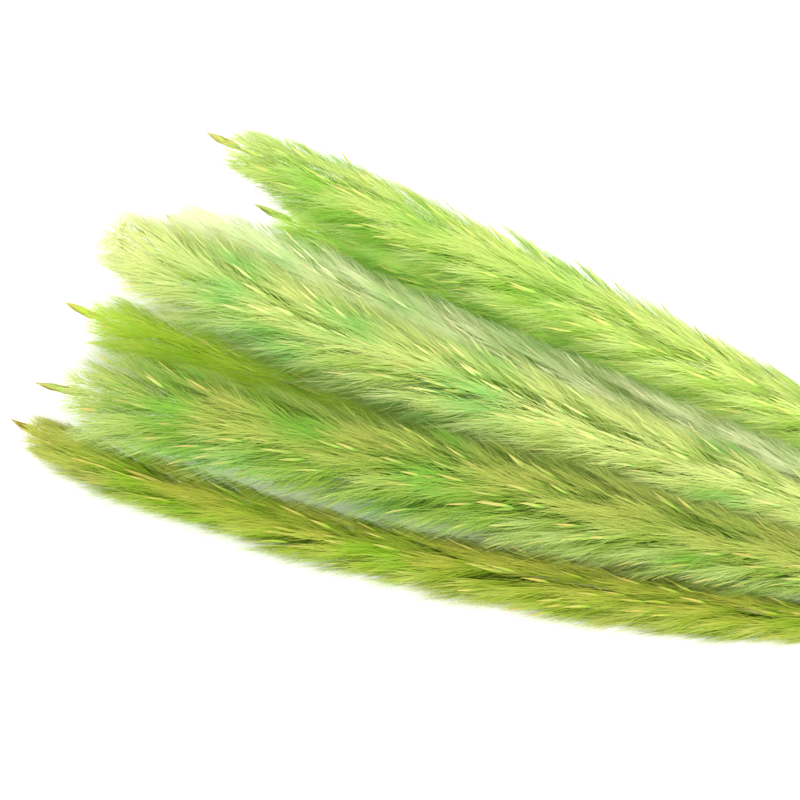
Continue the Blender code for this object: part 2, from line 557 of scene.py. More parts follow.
def fluff_growth():
    """Locks of hair on a plume: each leans forward from the stalk and out to the plume's girth."""
    tree = Growth(
        "plume_fluff",
        ("Locks", "INT", 250),
        ("Hairs in a lock", "INT", 100),
        ("Lock reach", "FLOAT", 2.1),
        ("Lock spread", "FLOAT", 0.4),
        ("Hair length", "LENGTH", 0.012),
        ("Hair width", "LENGTH", 0.0003),
        ("Curl", "LENGTH", 0.001),
        ("Droop", "FLOAT", 0.22),
        ("Sag", "LENGTH", 0.001),
        ("Stray share", "FLOAT", 0.08),
        ("Bare tip", "LENGTH", 0.007),
        ("Full girth", "LENGTH", 0.0135),
        ("Seed", "INT", 1),
        ("Material", "MATERIAL", None),
    )
    seed = tree["Seed"]
    line = tree.out(tree.add("GeometryNodeMeshToCurve", {"Mesh": tree["Geometry"]}))
    length = tree.out(tree.add("GeometryNodeCurveLength", {"Curve": line}))
    girth = tree.named("girth")
    count = tree["Locks"] * tree["Hairs in a lock"]
    points = tree.out(tree.add("GeometryNodePoints", {"Count": count}))
    hair = tree.out(tree.add("GeometryNodeInputIndex"))
    lock = tree.math("FLOOR", hair / tree["Hairs in a lock"])

    # A lock: where it ends, which way it points, how long and how full it is.
    place = (lock + tree.random(0.0, 1.0, seed, lock)) / tree["Locks"]
    end = tree.between(tree["Bare tip"] + 0.002, length * 0.985, place)
    aim = lock * GOLDEN_ANGLE + tree.random(-0.35, 0.35, seed + 1, lock)
    aim = aim + tree["Droop"] * tree.math("SINE", aim)
    _, _, lock_girth = tree.along_curve(line, end + 0.003, girth)
    fullness = lock_girth / tree["Full girth"]
    reach = lock_girth * tree["Lock reach"] * tree.random(0.75, 1.3, seed + 2, lock)
    lift = tree.random(0.84, 1.04, seed + 3, lock)

    # A hair: how far along its lock it starts, and how it strays from it.
    rise = tree.random(0.0, 1.0, seed + 4, hair) ** 0.6
    turn = tree.random(-1.0, 1.0, seed + 5, hair)
    fan = tree.random(-1.0, 1.0, seed + 6, hair)
    stray = tree.math("LESS_THAN", tree.random(0.0, 1.0, seed + 7, hair), tree["Stray share"])
    start = end + reach * (1.0 - rise)
    size = tree["Hair length"] * tree.random(0.6, 1.35, seed + 8, hair) * fullness ** 0.3
    root_depth = (0.05 + rise * 0.64) * lift
    tip_depth = (0.66 + rise * 0.36) * lift + tree.random(-0.09, 0.09, seed + 9, hair)
    stop = tree.math("MAXIMUM", start - size, tree["Bare tip"] * (1.3 - tip_depth * 0.5))
    tip_depth = tip_depth + stray * tree.random(0.04, 0.24, seed + 10, hair)
    near_tip = tree.math("MAXIMUM", 1.0 - end / 0.03, 0.0)
    openness = (0.25 + 1.0 - rise + near_tip * 0.7) * tree["Lock spread"]
    openness = openness / tree.math("MAXIMUM", fullness, 0.3)
    root_angle = aim + turn * openness * 0.7
    tip_angle = aim + turn * openness * 1.3 + fan * 0.14
    tip_angle = tip_angle + stray * fan * 0.45

    root_at, direction, root_girth = tree.along_curve(line, start, girth)
    up, side = across(tree, direction)
    root_girth = tree.math("MAXIMUM", root_girth, lock_girth * 0.8)
    _, _, spine = tree.along_curve(line, start, tree.named("spine"))
    root_edge = outward(tree, up, side, root_angle) * root_girth
    root = root_at + up * (spine * (1.0 - root_depth)) + root_edge * root_depth
    tip_at, forward, _ = tree.along_curve(line, stop, girth)
    tip_at = tip_at + forward * tree.math("MINIMUM", stop, 0.0)
    _, _, tip_girth = tree.along_curve(line, tree.math("MAXIMUM", stop + 0.004, 0.005), girth)
    tip_out = outward(tree, up, side, tip_angle)
    tip_spine = up * (spine * tree.math("MAXIMUM", 1.0 - tip_depth, 0.0))
    sag = tree.vector(0.0, 0.0, tree["Sag"] * rise * -1.0)
    tip = tip_at + tip_spine + tip_out * (tip_girth * tip_depth) + sag
    bend = root + (tip - root) * 0.48
    bulge = tree["Curl"] * (0.35 + tree.random(-1.0, 1.0, seed + 11, hair))
    bend = bend + tip_out * bulge
    lean = tree.vector_math("NORMALIZE", tip - root)
    flat = tree.vector_math("NORMALIZE", tree.vector_math("CROSS_PRODUCT", lean, tip_out))
    bend = bend + flat * (tree["Curl"] * tree.random(-1.2, 1.2, seed + 12, hair))
    twist = tree.random(-0.6, 0.6, seed + 13, hair)
    flat_side = tree.vector_math("CROSS_PRODUCT", lean, flat)
    flat = flat * tree.math("COSINE", twist) + flat_side * tree.math("SINE", twist)
    width = tree["Hair width"] * tree.random(0.55, 1.3, seed + 14, hair) * (1.0 - stray * 0.4)

    for name, value in (("root", root), ("bend", bend), ("tip", tip), ("flat", flat)):
        points = tree.store(points, name, value, "FLOAT_VECTOR")
    for name, value in (
        ("width", width),
        ("rise", rise),
        ("lock_tone", tree.random(0.0, 1.0, seed + 15, lock)),
        ("hair_tone", tree.random(0.0, 1.0, seed + 16, hair)),
        ("along", stop / length),
        ("upward", tree.math("COSINE", tip_angle)),
    ):
        points = tree.store(points, name, value)

    hairs = tree.set_on(points, ribbon(tree))
    share = tree.named("share")
    root, bend, tip = (tree.named(name, "FLOAT_VECTOR") for name in ("root", "bend", "tip"))
    taper = 1.0 - share * share * 0.86
    half = tree.named("flat", "FLOAT_VECTOR") * (tree.named("edge") * tree.named("width") * taper)
    x, y, z = tree.split(bezier(root, bend, tip, share) + half)
    z = tree.math("MAXIMUM", z, 0.0002 + tree.named("hair_tone") * 0.0014)
    hairs = tree.moved(hairs, tree.vector(x, y, z))
    sector = tree.math("FLOOR", tree.named("upward") * 3.999 + 4.0)
    chart_u = 0.01 + tree.named("along") * 0.97 + tree.named("edge") * 0.006
    chart_v = (sector + 0.06 + share * 0.88) / 8.0
    chart = tree.vector(chart_u, chart_v, 0.0)
    tree.end(tree.store(hairs, "OFBake", chart, "FLOAT2", "CORNER"), tree["Material"])
    return tree


def fluff_material(name, dye):
    """Silky dyed hair: painted shade near the stalk, a paler top as painted light from above, pale at
    the ends of the locks, patchy along the plume.
    """
    material, tree, shader, output = shader_tree(name)
    share, along = attribute(tree, "share"), attribute(tree, "along")
    lock, hair = attribute(tree, "lock_tone"), attribute(tree, "hair_tone")
    upward, rise = attribute(tree, "upward"), attribute(tree, "rise")
    spot = tree.vector(along * 8.0, upward * 1.1, tree.math("MULTIPLY", lock, 0.5))
    cloud = noise(tree, spot, 1.0, 3.0)
    # Hair pointing up takes a paler colour: painted light from above.
    colour = blended(tree, ramped(tree, upward, 0.35, 0.9), dye.body, dye.lit_top)
    first_third = ramped(tree, along, 0.05, 0.12) * ramped(tree, along, 0.42, 0.26)
    dyed = ramped(tree, cloud + first_third * 0.06, 0.50, 0.64) * ramped(tree, along, 0.03, 0.14)
    colour = blended(tree, dyed * 0.85, colour, dye.patch)
    silky = ramped(tree, rise + share * 0.35 + lock * 0.35, 0.9, 1.5) * ramped(tree, upward, 0.95, 0.3)
    colour = blended(tree, silky * 0.8, colour, dye.silk)
    colour = blended(tree, ramped(tree, along, 0.16, 0.0) * 0.6, colour, dye.silk)
    # Hair near the stalk and at the roots of the locks takes a darker colour: painted shade inside the
    # plume.
    core_shade = 1.0 - ramped(tree, rise + share * 0.5, 0.35, 1.0)
    colour = blended(tree, core_shade * 0.75, colour, dye.shaded_core)
    shade = tree.between(0.95, 1.03, hair)
    colour = blended(tree, 1.0, colour, tree.vector(shade, shade, shade), "MULTIPLY")
    tree.feed(shader.inputs["Base Color"], colour)
    shader.inputs["Roughness"].default_value = 0.6
    shader.inputs["Specular IOR Level"].default_value = 0.12
    shader.inputs["Sheen Weight"].default_value = 0.08
    shader.inputs["Sheen Roughness"].default_value = 0.5
    glow = tree.add("ShaderNodeBsdfTranslucent", {"Color": colour})
    mixed = tree.add("ShaderNodeMixShader", {0: 0.5, 1: tree.out(shader), 2: tree.out(glow)})
    tree.feed(output.inputs["Surface"], tree.out(mixed))
    return material


def spine_lift(rows, share):
    """How far the stalk runs above the middle of its hair, which hangs from it."""
    away = rows[:, 0] - rows[0, 0]
    return share * rows[:, 3] * np.clip(away / 0.05, 0.0, 1.0)


def hairy_rows(number, dye):
    """The plume's line with the girth of its hair, which ends bluntly behind the bare tip."""
    rows = plume_rows(number)
    away = rows[:, 0] - rows[0, 0]
    full = rows[:, 3].max()
    blunt = full * (1.0 - np.exp(-away / dye.blunt_length))
    tip_half = away < away[-1] * 0.4
    rows[tip_half, 3] = np.maximum(rows[tip_half, 3], blunt[tip_half])
    to_base = np.clip(away / away[-1] * 2.5 - 1.0, 0.0, 1.0)
    rows[:, 3] *= dye.swell + (dye.base_swell - dye.swell) * to_base
    return rows


# ---------------------------------------------------------------------------
# Seed scales and stalk


def sweep(tree, stations, sides):
    """A tube round the tree's line of stations: its rings are square to X, and its ends closed."""
    grid = tree.add("GeometryNodeMeshGrid", {0: 1.0, 1: 1.0, 2: stations, 3: sides + 1})
    index = tree.out(tree.add("GeometryNodeInputIndex"))
    station = tree.math("FLOOR", index / (sides + 1) + 0.0001)
    angle = (index - station * (sides + 1)) * (math.tau / sides)
    ring = tree.vector(0.0, tree.math("SINE", angle), tree.math("COSINE", angle))
    line = tree["Geometry"]
    centre = tree.at_index(line, tree.place(), station, "FLOAT_VECTOR")
    girth = tree.at_index(line, tree.named("girth"), station)
    tube = tree.store(tree.out(grid, "Mesh"), "ring", ring, "FLOAT_VECTOR")
    for name in ("along", "inside", "joint"):
        tube = tree.store(tube, name, tree.at_index(line, tree.named(name), station))
    tube = tree.moved(tube, centre + ring * girth)
    merged = tree.add("GeometryNodeMergeByDistance", {"Geometry": tube, "Distance": 2 * NIL_GIRTH})
    return tree.out(merged)


def scales_growth():
    """Seed scales along a plume, and the narrow ones that end it."""
    tree = Growth(
        "seed_scales",
        ("Scales", "INT", 300),
        ("End scales", "INT", 6),
        ("Scale length", "LENGTH", 0.0065),
        ("Scale width", "LENGTH", 0.0010),
        ("End length", "LENGTH", 0.010),
        ("Seed", "INT", 1),
        ("Material", "MATERIAL", None),
    )
    seed = tree["Seed"]
    line = tree.out(tree.add("GeometryNodeMeshToCurve", {"Mesh": tree["Geometry"]}))
    length = tree.out(tree.add("GeometryNodeCurveLength", {"Curve": line}))
    girth = tree.named("girth")
    points = tree.out(tree.add("GeometryNodePoints", {"Count": tree["Scales"] + tree["End scales"]}))
    scale = tree.out(tree.add("GeometryNodeInputIndex"))
    ending = tree.math("LESS_THAN", scale, tree["End scales"])
    body_share = (scale - tree["End scales"] + tree.random(0.0, 1.0, seed, scale)) / tree["Scales"]
    body_start = tree.between(tree["End length"] * 1.6, length * 0.97, body_share)
    end_share = scale / tree["End scales"]
    end_start = tree["End length"] * tree.between(0.8, 1.35, end_share)
    start = tree.between(body_start, end_start, ending)
    size = tree["Scale length"] * tree.random(0.75, 1.25, seed + 1, scale)
    size = tree.between(size, tree["End length"] * 0.9, ending)
    stop = tree.math("MAXIMUM", start - size, 0.0001)
    angle = scale * GOLDEN_ANGLE + tree.random(-0.5, 0.5, seed + 2, scale)
    depth = tree.random(0.0, 1.0, seed + 3, scale) ** 0.55
    root_at, direction, root_girth = tree.along_curve(line, start, girth)
    tip_at, _, tip_girth = tree.along_curve(line, stop + 0.0001, girth)
    up, side = across(tree, direction)
    away = outward(tree, up, side, angle)
    root_out = tree.between(root_girth * (0.15 + depth * 0.58), 0.0003, ending)
    end_out = tree.between(0.0002, 0.0011, end_share)
    tip_out = tree.between(tip_girth * (0.28 + depth * 0.72), end_out, ending)
    _, _, spine = tree.along_curve(line, start, tree.named("spine"))
    spine = tree.between(spine * (1.0 - depth * 0.8), 0.0, ending)
    root = root_at + away * root_out + up * spine
    tip = tip_at + away * tip_out + up * (spine * 0.8)
    lean = tree.vector_math("NORMALIZE", tip - root)
    flat = tree.vector_math("NORMALIZE", tree.vector_math("CROSS_PRODUCT", lean, away))
    twist = tree.random(-0.7, 0.7, seed + 4, scale)
    keel = tree.vector_math("CROSS_PRODUCT", lean, flat)
    flat_turned = flat * tree.math("COSINE", twist) + keel * tree.math("SINE", twist)
    keel_turned = keel * tree.math("COSINE", twist) - flat * tree.math("SINE", twist)
    width = tree["Scale width"] * (tree.random(0.7, 1.2, seed + 5, scale) + ending * 1.7)
    for name, value in (("root", root), ("tip", tip), ("flat", flat_turned), ("keel", keel_turned)):
        points = tree.store(points, name, value, "FLOAT_VECTOR")
    for name, value in (
        ("width", width),
        ("depth", tree.between(depth, 1.0, ending)),
        ("tone", tree.random(0.0, 1.0, seed + 6, scale)),
        ("along", stop / length),
        ("ending", ending),
    ):
        points = tree.store(points, name, value)

    blade = tree.add("GeometryNodeMeshGrid", {0: 1.0, 1: 1.0, 2: 3, 3: 5})
    x, y, _ = tree.split(tree.place())
    blade = tree.store(tree.out(blade, "Mesh"), "share", y + 0.5)
    blade = tree.store(blade, "edge", x)
    blades = tree.set_on(points, blade)
    share, edge = tree.named("share"), tree.named("edge")
    root, tip, flat, keel = (tree.named(n, "FLOAT_VECTOR") for n in ("root", "tip", "flat", "keel"))
    belly = tree.math("SINE", share ** 0.7 * 3.0 + 0.07) * tree.named("width")
    fold = (0.5 - tree.math("ABSOLUTE", edge)) * belly * 0.5
    arch = tree.math("SINE", share * math.pi) * tree.named("width") * 0.4
    x, y, z = tree.split(root + (tip - root) * share + flat * (edge * belly) + keel * (fold + arch))
    z = tree.math("MAXIMUM", z, 0.0003 + tree.named("tone") * 0.0008)
    blades = tree.moved(blades, tree.vector(x, y, z))
    chart_u = 0.01 + tree.named("along") * 0.97 + edge * 0.008
    chart = tree.vector(chart_u, 0.04 + share * 0.92, 0.0)
    tree.end(tree.store(blades, "OFBake", chart, "FLOAT2", "CORNER"), tree["Material"])
    return tree


def scale_material(name, dye):
    """Papery seed scales: dyed near the stalk, straw to rust at the point, with fine ribs."""
    material, tree, shader, output = shader_tree(name)
    share, tone = attribute(tree, "share"), attribute(tree, "tone")
    depth, edge = attribute(tree, "depth"), attribute(tree, "edge")
    rust = tuple(channel * factor for channel, factor in zip(dye.scale, (1.0, 0.84, 0.74)))
    dried = blended(tree, ramped(tree, tone, 0.55, 0.95), dye.scale, rust)
    turned = ramped(tree, share + tone * 0.5 + depth * 0.4, 0.75, 1.35)
    colour = blended(tree, turned * 0.65, dye.body, dried)
    colour = blended(tree, 1.0 - ramped(tree, share, 0.0, 0.4), colour, dye.patch)
    ribbed = tree.vector(edge, share * 0.1, 0.0)
    rib = tree.out(tree.add("ShaderNodeTexWave", {"Vector": ribbed, "Scale": 2.4}), 1)
    shade = tree.between(0.86, 1.05, rib)
    colour = blended(tree, 1.0, colour, tree.vector(shade, shade, shade), "MULTIPLY")
    tree.feed(shader.inputs["Base Color"], colour)
    shader.inputs["Roughness"].default_value = 0.5
    shader.inputs["Specular IOR Level"].default_value = 0.3
    glow = tree.add("ShaderNodeBsdfTranslucent", {"Color": colour})
    mixed = tree.add("ShaderNodeMixShader", {0: 0.3, 1: tree.out(shader), 2: tree.out(glow)})
    tree.feed(output.inputs["Surface"], tree.out(mixed))
    return material


def stalk_rows(number, spine, plumes):
    """The thin stalk that carries the hair, from the plume's tip into the top of the cane."""
    rows = plume_rows(number)
    rows[:, 2] += spine
    bare = plumes.end_length * 0.5
    rows = np.concatenate([rows[rows[:, 0] > rows[0, 0] + bare], cane_rows(number)[1:7]])
    share = np.linspace(0.0, 1.0, len(rows))
    rows[:, 3] = plumes.stalk_tip + (plumes.stalk_base - plumes.stalk_tip) * share
    rows[[0, -1], 3] = NIL_GIRTH
    return rows, share


def tube_growth(name, sides):
    """A tube that follows the line it grows on."""
    tree = Growth(name, ("Stations", "INT", 100), ("Material", "MATERIAL", None))
    tree.end(sweep(tree, tree["Stations"], sides), tree["Material"])
    return tree


def grow_tube(name, rows, growth, material, **numbers):
    values = {"Stations": len(rows), "Material": material}
    return grow(name, line_mesh(name, rows, **numbers), growth, values)


# ---------------------------------------------------------------------------
# Canes


def joint_swelling(rows):
    """How far into a joint of the cane each station is, as 0 to 1."""
    girth = rows[:, 3]
    plain = np.array([np.median(girth[max(0, i - 9) : i + 10]) for i in range(len(girth))])
    return np.clip((girth / plain - 1.0) / 0.12, 0.0, 1.0)


def hollow_cane_rows(number, wall_share, hollow_length):
    """Stations along the outside of a cane, over its cut end, and back up the hollow to a joint."""
    outer = cane_rows(number)
    joint = joint_swelling(outer)
    back = outer[outer[:, 0] > outer[-1, 0] - hollow_length][::-1].copy()
    back[:, 3] *= wall_share
    chamfer = np.array([0.00006, 0.0, 0.0, 0.0])
    rim = [outer[-1] + chamfer, back[0] + chamfer]
    rim[0][3] *= 0.985
    rim[1][3] *= 1.03
    rows = np.concatenate([outer[:1], outer, rim, back, back[-1:]])
    rows[[0, -1], 3] = NIL_GIRTH
    inside = np.zeros(len(rows))
    inside[len(outer) + 1 :] = 1.0
    joint = np.concatenate([[0.0], joint, np.zeros(len(rows) - len(outer) - 1)])
    along = (rows[:, 0] - rows[0, 0]) / (outer[-1, 0] - outer[0, 0])
    return rows, {"along": along, "inside": inside, "joint": joint}


def cane_material(name, settings):
    """Dyed straw: lengthwise ribs, blotches, a dark ring at each joint and a pale hollow."""
    material, tree, shader, _ = shader_tree(name)
    along, joint = attribute(tree, "along"), attribute(tree, "joint")
    inside = attribute(tree, "inside")
    ring = attribute(tree, "ring", "Vector")
    place = tree.split(object_place(tree))
    _, ring_y, ring_z = tree.split(ring)
    streaked = tree.vector(place[0] * 14.0, ring_y * 3.2 + place[1] * 20.0, ring_z * 3.2)
    streak = noise(tree, streaked, 2.2, 5.0)
    blotched = tree.vector(place[0] * 60.0, ring_y * 1.4 + place[1] * 200.0, ring_z * 1.4)
    blotch = noise(tree, blotched, 1.0, 3.0)
    colour = blended(tree, ramped(tree, blotch, 0.35, 0.65), settings.straw, settings.green)
    colour = blended(tree, ramped(tree, streak, 0.5, 0.75) * 0.6, colour, settings.rib)
    colour = blended(tree, ramped(tree, joint, 0.25, 0.9) * 0.8, colour, settings.joint)
    colour = blended(tree, ramped(tree, along, 0.985, 1.0) * 0.5, colour, settings.hollow)
    colour = blended(tree, inside, colour, settings.hollow)
    tree.feed(shader.inputs["Base Color"], colour)
    tree.feed(shader.inputs["Roughness"], tree.between(0.36, 0.58, streak))
    bump = tree.add("ShaderNodeBump", {"Strength": 0.5, "Distance": 0.0002, "Height": streak})
    tree.feed(shader.inputs["Normal"], tree.out(bump))
    return material


# ---------------------------------------------------------------------------
# Twine


def twine_lines(settings):
    """Routes of the twine: its turns, its knot and its two ends, round the canes at the tie."""
    low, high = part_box("twine_tie")
    tie_x = (low.x + high.x) / 2
    _, y, z, cane_radius = slices("reed_05_stem", [tie_x])[0]
    top = slices("reed_04_stem", [tie_x])[0]
    pitch = math.hypot(top[1] - y, top[2] - z)
    centre = Vector((tie_x, y, z))
    radius = settings.thickness / 2
    turns = []
    steps_a_turn = 72
    bundle = pitch + cane_radius + radius + settings.slack
    total = settings.turns * steps_a_turn
    for step in range(total + 1):
        angle = math.radians(90) + math.tau * (step / steps_a_turn)
        corner = math.cos(6 * angle) * 0.035
        out = bundle * (1.0 + corner - 0.02)
        x = (step / total - 0.5) * settings.turns * settings.thickness * 1.08
        turns.append(centre + Vector((x, math.cos(angle) * out, math.sin(angle) * out)))
    knot_centre = centre + Vector((0.0, 0.0, bundle + radius * 0.9))
    knot = []
    for step in range(61):
        t = math.tau * step / 60
        x = (math.sin(t) + 2 * math.sin(2 * t)) * 0.00085
        y = (math.cos(t) - 2 * math.cos(2 * t)) * 0.00062
        knot.append(knot_centre + Vector((x, y, -math.sin(3 * t) * 0.0006)))
    ends = []
    for way in (-1, 1):
        start = knot_centre + Vector((way * 0.0010, way * 0.0008, 0.0))
        end = []
        for step in range(25):
            share = step / 24
            out = share * settings.end_length
            rise = 0.0016 * math.sin(share * math.pi) - 0.0018 * share * share
            end.append(start + Vector((way * out * 0.45, way * out * 0.85, rise)))
        ends.append(end)
    return [turns, knot, *ends]


def twine_mesh(name, routes):
    mesh = bpy.data.meshes.new(name)
    points, edges = [], []
    for route in routes:
        first = len(points)
        points += [tuple(point) for point in route]
        edges += [(first + i, first + i + 1) for i in range(len(route) - 1)]
    mesh.from_pydata(points, edges, [])
    return mesh


def twine_growth():
    """Three plies wound round each route, with loose fibres."""
    tree = Growth(
        "jute_twine",
        ("Thickness", "LENGTH", 0.0018),
        ("Lay", "LENGTH", 0.0045),
        ("Step", "LENGTH", 0.0004),
        ("Fibres", "INT", 900),
        ("Fibre length", "LENGTH", 0.0022),
        ("Seed", "INT", 5),
        ("Material", "MATERIAL", None),
    )
    seed = tree["Seed"]
    routes = tree.out(tree.add("GeometryNodeMeshToCurve", {"Mesh": tree["Geometry"]}))
    feeds = {"Curve": routes, "Length": tree["Step"]}
    routes = tree.out(tree.add("GeometryNodeResampleCurve", feeds, mode="LENGTH"))
    run = tree.out(tree.add("GeometryNodeSplineParameter"), "Length")
    normal = tree.out(tree.add("GeometryNodeInputNormal"))
    tangent = tree.out(tree.add("GeometryNodeInputTangent"))
    beside = tree.vector_math("CROSS_PRODUCT", tangent, normal)
    plies = []
    for ply in range(3):
        angle = run / tree["Lay"] * math.tau + ply * math.tau / 3
        away = normal * tree.math("COSINE", angle) + beside * tree.math("SINE", angle)
        feeds = {"Geometry": routes, "Offset": away * (tree["Thickness"] * 0.265)}
        plies.append(tree.out(tree.add("GeometryNodeSetPosition", feeds)))
    paths = tree.store(tree.joined(*plies), "run", run)
    circle = tree.add("GeometryNodeCurvePrimitiveCircle", {"Resolution": 8, "Radius": 1.0})
    place = tree.place()
    profile = tree.store(tree.out(circle, "Curve"), "ring", place, "FLOAT_VECTOR")
    feeds = {"Curve": paths, "Profile Curve": profile, "Fill Caps": True}
    feeds["Scale"] = tree["Thickness"] * 0.26
    rope = tree.out(tree.add("GeometryNodeCurveToMesh", feeds))

    points = tree.out(tree.add("GeometryNodePoints", {"Count": tree["Fibres"]}))
    number = tree.out(tree.add("GeometryNodeInputIndex"))
    faces = tree.out(tree.add("GeometryNodeAttributeDomainSize", {"Geometry": rope}), "Face Count")
    face = tree.math("FLOOR", tree.random(0.0, 0.9999, seed, number) * faces)
    spot = tree.at_index(rope, place, face, "FLOAT_VECTOR", "FACE")
    facing = tree.at_index(rope, normal, face, "FLOAT_VECTOR", "FACE")
    fling = tree.vector(*(tree.random(-1.0, 1.0, seed + k, number) for k in (1, 2, 3)))
    lean = tree.vector_math("NORMALIZE", facing * 0.7 + fling)
    size = tree["Fibre length"] * tree.random(0.3, 1.0, seed + 4, number)
    flat = tree.vector_math("NORMALIZE", tree.vector_math("CROSS_PRODUCT", lean, facing))
    for name, value in (
        ("root", spot - facing * 0.0001),
        ("bend", spot + lean * (size * 0.5) + flat * (size * tree.random(-0.3, 0.3, seed + 5, number))),
        ("tip", spot + lean * size),
        ("flat", flat),
    ):
        points = tree.store(points, name, value, "FLOAT_VECTOR")
    loose = tree.set_on(points, ribbon(tree))
    share = tree.named("share")
    root, bend, tip = (tree.named(name, "FLOAT_VECTOR") for name in ("root", "bend", "tip"))
    half = tree.named("flat", "FLOAT_VECTOR") * (tree.named("edge") * (1.0 - share * 0.7) * 0.00009)
    loose = tree.moved(loose, bezier(root, bend, tip, share) + half)
    x, y, z = tree.split(place)
    above_floor = tree.vector(x, y, tree.math("MAXIMUM", z, 0.00015))
    tree.end(tree.moved(tree.joined(rope, loose), above_floor), tree["Material"])
    return tree


def twine_material(settings):
    """Jute: strands along each ply, light and dark fibres."""
    material, tree, shader, _ = shader_tree("jute")
    run = attribute(tree, "run")
    ring = attribute(tree, "ring", "Vector")
    ring_x, ring_y, _ = tree.split(ring)
    strand = tree.vector(ring_x * 4.0, ring_y * 4.0, run * 900.0)
    fibre = noise(tree, strand, 1.3, 4.0)
    patch = noise(tree, object_place(tree), 350.0, 2.0)
    colour = blended(tree, ramped(tree, fibre, 0.35, 0.68), settings.dark, settings.light)
    colour = blended(tree, ramped(tree, patch, 0.5, 0.8) * 0.5, colour, settings.light)
    tree.feed(shader.inputs["Base Color"], colour)
    shader.inputs["Roughness"].default_value = 0.85
    bump = tree.add("ShaderNodeBump", {"Strength": 0.6, "Distance": 0.0001, "Height": fibre})
    tree.feed(shader.inputs["Normal"], tree.out(bump))
    return material


# ---------------------------------------------------------------------------
# Settings


def size_setting(name, description, default, **more):
    return FloatProperty(name=name, description=description, default=default, unit="LENGTH", **more)


def number_setting(name, description, default, **more):
    return FloatProperty(name=name, description=description, default=default, **more)


def angle_setting(name, description, degrees):
    return number_setting(name, description, math.radians(degrees), unit="ROTATION")


def colour_setting(name, description, red, green, blue):
    default = linear(red, green, blue)
    return FloatVectorProperty(
        name=name, description=description, subtype="COLOR", min=0, max=1, default=default
    )


class ReedDye(bpy.types.PropertyGroup):
    """Colours and growth of one reed's plume."""

    # Paler colour of the hair on the upper side: painted light from above.
    lit_top: colour_setting("Crest", "Hair on the upper side", 220, 236, 150)
    body: colour_setting("Body", "Hair on the flanks", 190, 224, 110)
    patch: colour_setting("Patch", "Hair where the dye took best", 150, 214, 70)
    silk: colour_setting("Silk", "Ends of the locks", 226, 238, 180)
    # Darker colour of the hair near the stalk: painted shade inside the plume.
    shaded_core: colour_setting("Deep", "Hair near the stalk", 120, 174, 50)
    scale: colour_setting("Scale", "Seed scales", 208, 186, 112)
    fullness: number_setting("Fullness", "Share of the full number of hairs", 1.0)
    swell: number_setting("Swell", "Girth of the hair beside the solid's", 1.1)
    base_swell: number_setting("Base swell", "Swell of the half near the cane", 1.1)
    bare_tip: size_setting("Bare tip", "Length of the tip that stands out of the hair", 0.008)
    blunt_length: size_setting("Bluntness", "How soon behind its tip the plume is full", 0.012)
    end_share: number_setting("End scales", "Size of the scales that end the plume", 1.0)


class ReedPlumeSettings(bpy.types.PropertyGroup):
    """Sizes and dyes of the plumes."""

    dyes: CollectionProperty(type=ReedDye, name="Dyes", description="One dye for each reed")
    locks: IntProperty(name="Locks", description="Locks of hair on one plume", default=250, min=20)
    hairs: IntProperty(name="Hairs", description="Hairs in one lock", default=128, min=4)
    lock_reach: number_setting("Lock reach", "Lock length in plume girths", 2.1)
    lock_spread: number_setting("Lock spread", "Half angle that a lock covers", 0.4, unit="ROTATION")
    hair_length: size_setting("Hair length", "Length of one hair", 0.0125)
    hair_width: size_setting("Hair width", "Width of one hair", 0.00023)
    curl: size_setting("Curl", "How far a hair bends out of line", 0.0014)
    droop: number_setting("Droop", "How far the locks turn down the sides", 0.22)
    sag: size_setting("Sag", "How far the ends of the locks sink", 0.0012)
    stray_share: number_setting("Stray hairs", "Share of hairs out of their lock", 0.15)
    spine: number_setting("Spine", "Height of the stalk in its hair, in girths", 0.35)
    scales: IntProperty(name="Seed scales", description="Seed scales on one plume", default=560)
    scale_length: size_setting("Scale length", "Length of one seed scale", 0.0085)
    scale_width: size_setting("Scale width", "Width of one seed scale", 0.0009)
    end_length: size_setting("End length", "Length of the scales that end a plume", 0.011)
    stalk_base: size_setting("Stalk base", "Radius of the stalk where it leaves the cane", 0.00080)
    stalk_tip: size_setting("Stalk tip", "Radius of the stalk at the plume's tip", 0.00022)


class ReedCaneSettings(bpy.types.PropertyGroup):
    """Sizes and colours of the canes."""

    wall_share: number_setting("Hollow", "Radius of the hollow beside the cane's", 0.66)
    hollow_length: size_setting("Hollow length", "Depth of the hollow at the cut end", 0.050)
    straw: colour_setting("Straw", "Paler stretches of a cane", 170, 166, 100)
    green: colour_setting("Green", "Dyed stretches of a cane", 124, 144, 58)
    rib: colour_setting("Rib", "Lengthwise ribs", 96, 112, 44)
    joint: colour_setting("Joint", "Rings at the joints", 82, 66, 34)
    hollow: colour_setting("Hollow", "Inside of a cane and its cut edge", 184, 174, 130)


class ReedTwineSettings(bpy.types.PropertyGroup):
    """Sizes and colours of the tie."""

    thickness: size_setting("Thickness", "Thickness of the twine", 0.0018)
    slack: size_setting("Slack", "Gap between the twine and the canes", 0.0004)
    turns: IntProperty(name="Turns", description="Turns round the canes", default=3)
    lay: size_setting("Lay", "Length of one twist of the twine", 0.0048)
    end_length: size_setting("End length", "Length of each loose end", 0.013)
    fibres: IntProperty(name="Fibres", description="Loose fibres", default=1500)
    fibre_length: size_setting("Fibre length", "Length of one loose fibre", 0.0016)
    light: colour_setting("Light", "Paler fibres", 184, 152, 102)
    dark: colour_setting("Dark", "Darker fibres", 122, 90, 52)


